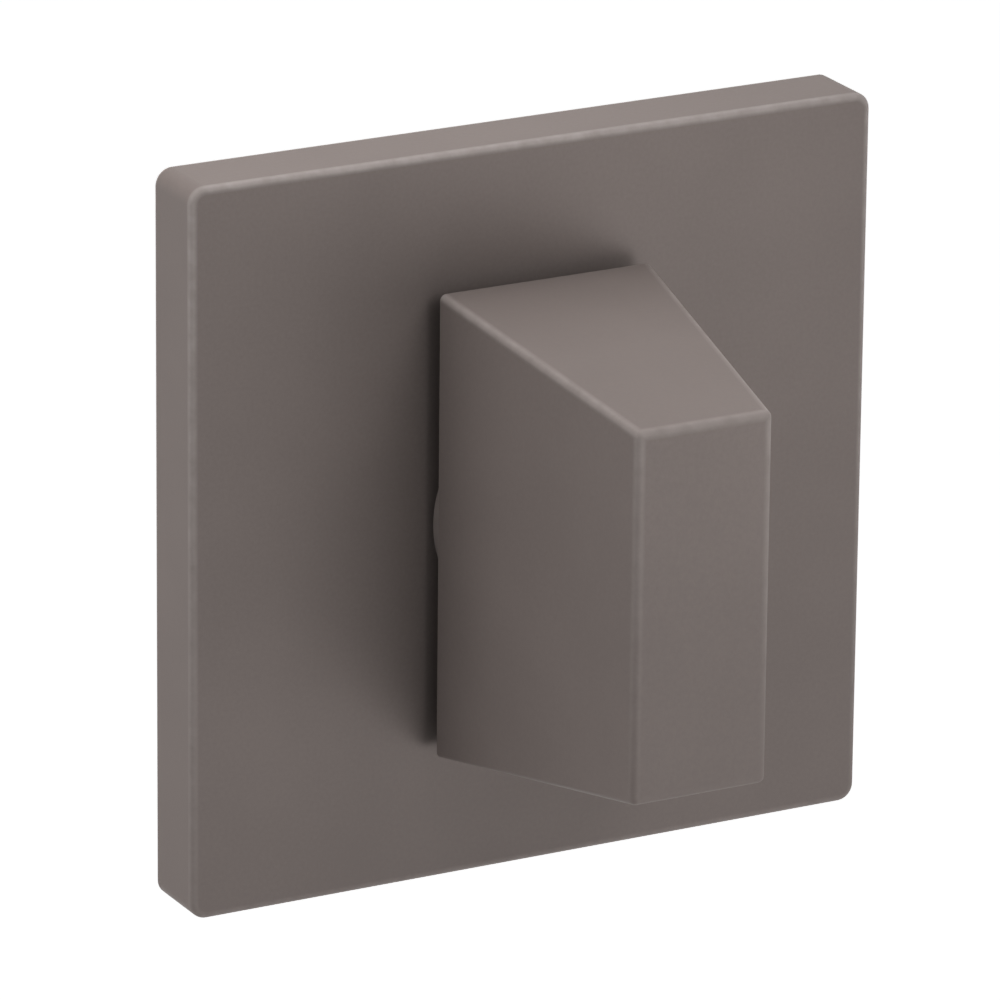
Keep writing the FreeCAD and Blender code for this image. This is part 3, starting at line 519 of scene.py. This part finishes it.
# The coat's own colour and gloss, which give way to the bare zinc beyond the mask's line
coated, gloss = (shader.inputs[name].links[0].from_socket for name in ("Base Color", "Roughness"))
polish = spread(knob_coat, turning_marks, 0.30, 0.44)
polishing = knob_graph.calc("MULTIPLY", bare, knob_graph.calc("SUBTRACT", polish, gloss))
feed(
    knob_coat, shader,
    colour=knob_graph.blend(bare, coated, turned), roughness=knob_graph.calc("ADD", gloss, polishing),
)
knob_coat.node_tree.links.new(bare, shader.inputs["Metallic"])
dress("turn_knob", knob_coat)


# Spindle: a bar of steel drawn square through a die and zinc plated, so fine lines run along it. The
# slotted pin holds it in the knob's socket.
drawn_zinc, shader = new_finish("drawn_zinc", (0.46, 0.465, 0.48), metallic=1.0)
draw_lines = grain(drawn_zinc, size=0.00022, detail=3, stretch=(1, 0.012, 1))
plate_clouds = grain(drawn_zinc, size=0.006, detail=3, stretch=(1, 0.4, 1))
CLOUDED_SHARE = 0.45
spindle_graph = Graph(drawn_zinc.node_tree)
lined = tint(drawn_zinc, draw_lines, [(0.34, (0.34, 0.345, 0.36)), (0.66, (0.54, 0.545, 0.555))])
clouded = tint(drawn_zinc, plate_clouds, [(0.35, (0.40, 0.41, 0.435)), (0.65, (0.53, 0.53, 0.525))])
feed(
    drawn_zinc, shader,
    colour=spindle_graph.blend(CLOUDED_SHARE, lined, clouded),
    roughness=spread(drawn_zinc, draw_lines, 0.30, 0.48),
    normal=relief(drawn_zinc, [(draw_lines, 0.000012, 0.5)]),
)
dress("spindle", drawn_zinc)


# Stage: a pale floor far below, a white surround and soft lamps. The part hangs where a door would hold
# it, so that its back shows too. Floor and surround look white, and give the part hardly any light.
FLOOR_GLOW = 0.94
SURROUND_LIGHT = 0.08
SURROUND_LOOK = 1.0


def looked_at(graph):
    """1 for what the camera sees, straight or in a glossy surface, and 0 for the light on the part."""
    rays = graph.node("ShaderNodeLightPath").outputs
    return graph.calc("MAXIMUM", rays["Is Camera Ray"], rays["Is Glossy Ray"])


def add_floor(radius, level):
    """A square sheet of pale paper that lies level."""
    mesh = bpy.data.meshes.new("floor")
    corners = [(x * radius, y * radius, level) for x, y in ((-1, -1), (1, -1), (1, 1), (-1, 1))]
    mesh.from_pydata(corners, [], [(0, 1, 2, 3)])
    floor = bpy.data.objects.new("floor", mesh)
    bpy.context.scene.collection.objects.link(floor)
    paper, shader = new_finish("pale_paper", (0.8, 0.8, 0.8), metallic=0.0, specular=0.0)
    shader.inputs["Roughness"].default_value = 0.9
    shader.inputs["Emission Color"].default_value = (1, 1, 1, 1)
    paper_graph = Graph(paper.node_tree)
    glow = paper_graph.calc("MULTIPLY", looked_at(paper_graph), FLOOR_GLOW)
    paper.node_tree.links.new(glow, shader.inputs["Emission Strength"])
    mesh.materials.append(paper)


add_floor(radius=4.0, level=-0.28)

world = bpy.data.worlds.new("white_studio")
bpy.context.scene.world = world
world.use_nodes = True
world.node_tree.nodes.clear()
sky_graph = Graph(world.node_tree)
strength = sky_graph.node("ShaderNodeMapRange", {
    "Value": looked_at(sky_graph), "To Min": SURROUND_LIGHT, "To Max": SURROUND_LOOK,
})
sky = sky_graph.node("ShaderNodeBackground", {
    "Color": (1, 1, 1, 1), "Strength": strength.outputs["Result"],
})
sky_graph.node("ShaderNodeOutputWorld", {"Surface": sky.outputs[0]})

# Each lamp has a name, a distance in metres, an elevation and an azimuth in degrees, where 0 is straight
# in front and 90 to the right, a diameter in metres, and about the brightness of white paper facing it.
LAMPS = [
    ("front_softbox", 0.60, -20, 20, 0.33, 0.532),
    ("front_right_softbox", 0.60, -20, 50, 0.33, 0.165),
    ("front_fill_softbox", 0.60, 10, -10, 0.33, 0.045),
    ("left_softbox", 0.30, 0, -95, 0.21, 0.280),
    ("left_rim_softbox", 0.30, 0, -115, 0.21, 0.310),
    ("back_left_softbox", 0.30, 0, -140, 0.21, 0.205),
    ("high_back_softbox", 0.30, 55, 140, 0.21, 0.590),
    ("near_high_left_softbox", 0.12, 70, -100, 0.06, 0.510),
    ("near_front_softbox", 0.08, 36, 10, 0.04, 0.185),
    ("near_top_softbox", 0.08, 50, 10, 0.04, 0.110),
]
LIT_POINT = Vector((0, -0.012, 0))
DOOR_PLANE = 90
for name, distance, elevation, azimuth, size, level in LAMPS:
    light = bpy.data.lights.new(name, "AREA")
    light.shape = "DISK"
    light.size = size
    light.energy = level * (math.pi * distance) ** 2
    up, round_z = math.radians(elevation), math.radians(azimuth)
    towards = Vector((math.sin(round_z) * math.cos(up), -math.cos(round_z) * math.cos(up), math.sin(up)))
    lamp = bpy.data.objects.new(name, light)
    lamp.visible_camera = False
    # Lamps behind the door's plane would wash out the bare metal there if they showed in it
    lamp.visible_glossy = abs(azimuth) < DOOR_PLANE
    lamp.location = LIT_POINT + towards * distance
    lamp.rotation_euler = towards.to_track_quat("Z", "Y").to_euler()
    bpy.context.scene.collection.objects.link(lamp)


# Camera: a long lens 0.6 m from the rose, to its left and above it, as in the photo. Its place, tilt and
# focal length were fitted to the outline of the square cover.
camera_data = bpy.data.cameras.new("camera")
camera = bpy.data.objects.new("camera", camera_data)
bpy.context.scene.collection.objects.link(camera)
bpy.context.scene.camera = camera
AIM = Vector((0.000259, 0, -0.001338))
AZIMUTH, ELEVATION, ROLL = (math.radians(angle) for angle in (-28.1612, 19.0830, 0.5876))
DISTANCE = 0.601932
outward = Vector((
    math.sin(AZIMUTH) * math.cos(ELEVATION), -math.cos(AZIMUTH) * math.cos(ELEVATION), math.sin(ELEVATION),
))
camera.matrix_world = (
    Matrix.Translation(AIM + outward * DISTANCE)
    @ Matrix.Rotation(AZIMUTH, 4, "Z")
    @ Matrix.Rotation(math.pi / 2 - ELEVATION, 4, "X")
    @ Matrix.Rotation(ROLL, 4, "Z")
)
camera_data.sensor_width = 36
camera_data.lens = 314.630
camera_data.clip_start = 0.01
camera_data.clip_end = 20

bpy.context.scene.view_settings.view_transform = "Standard"
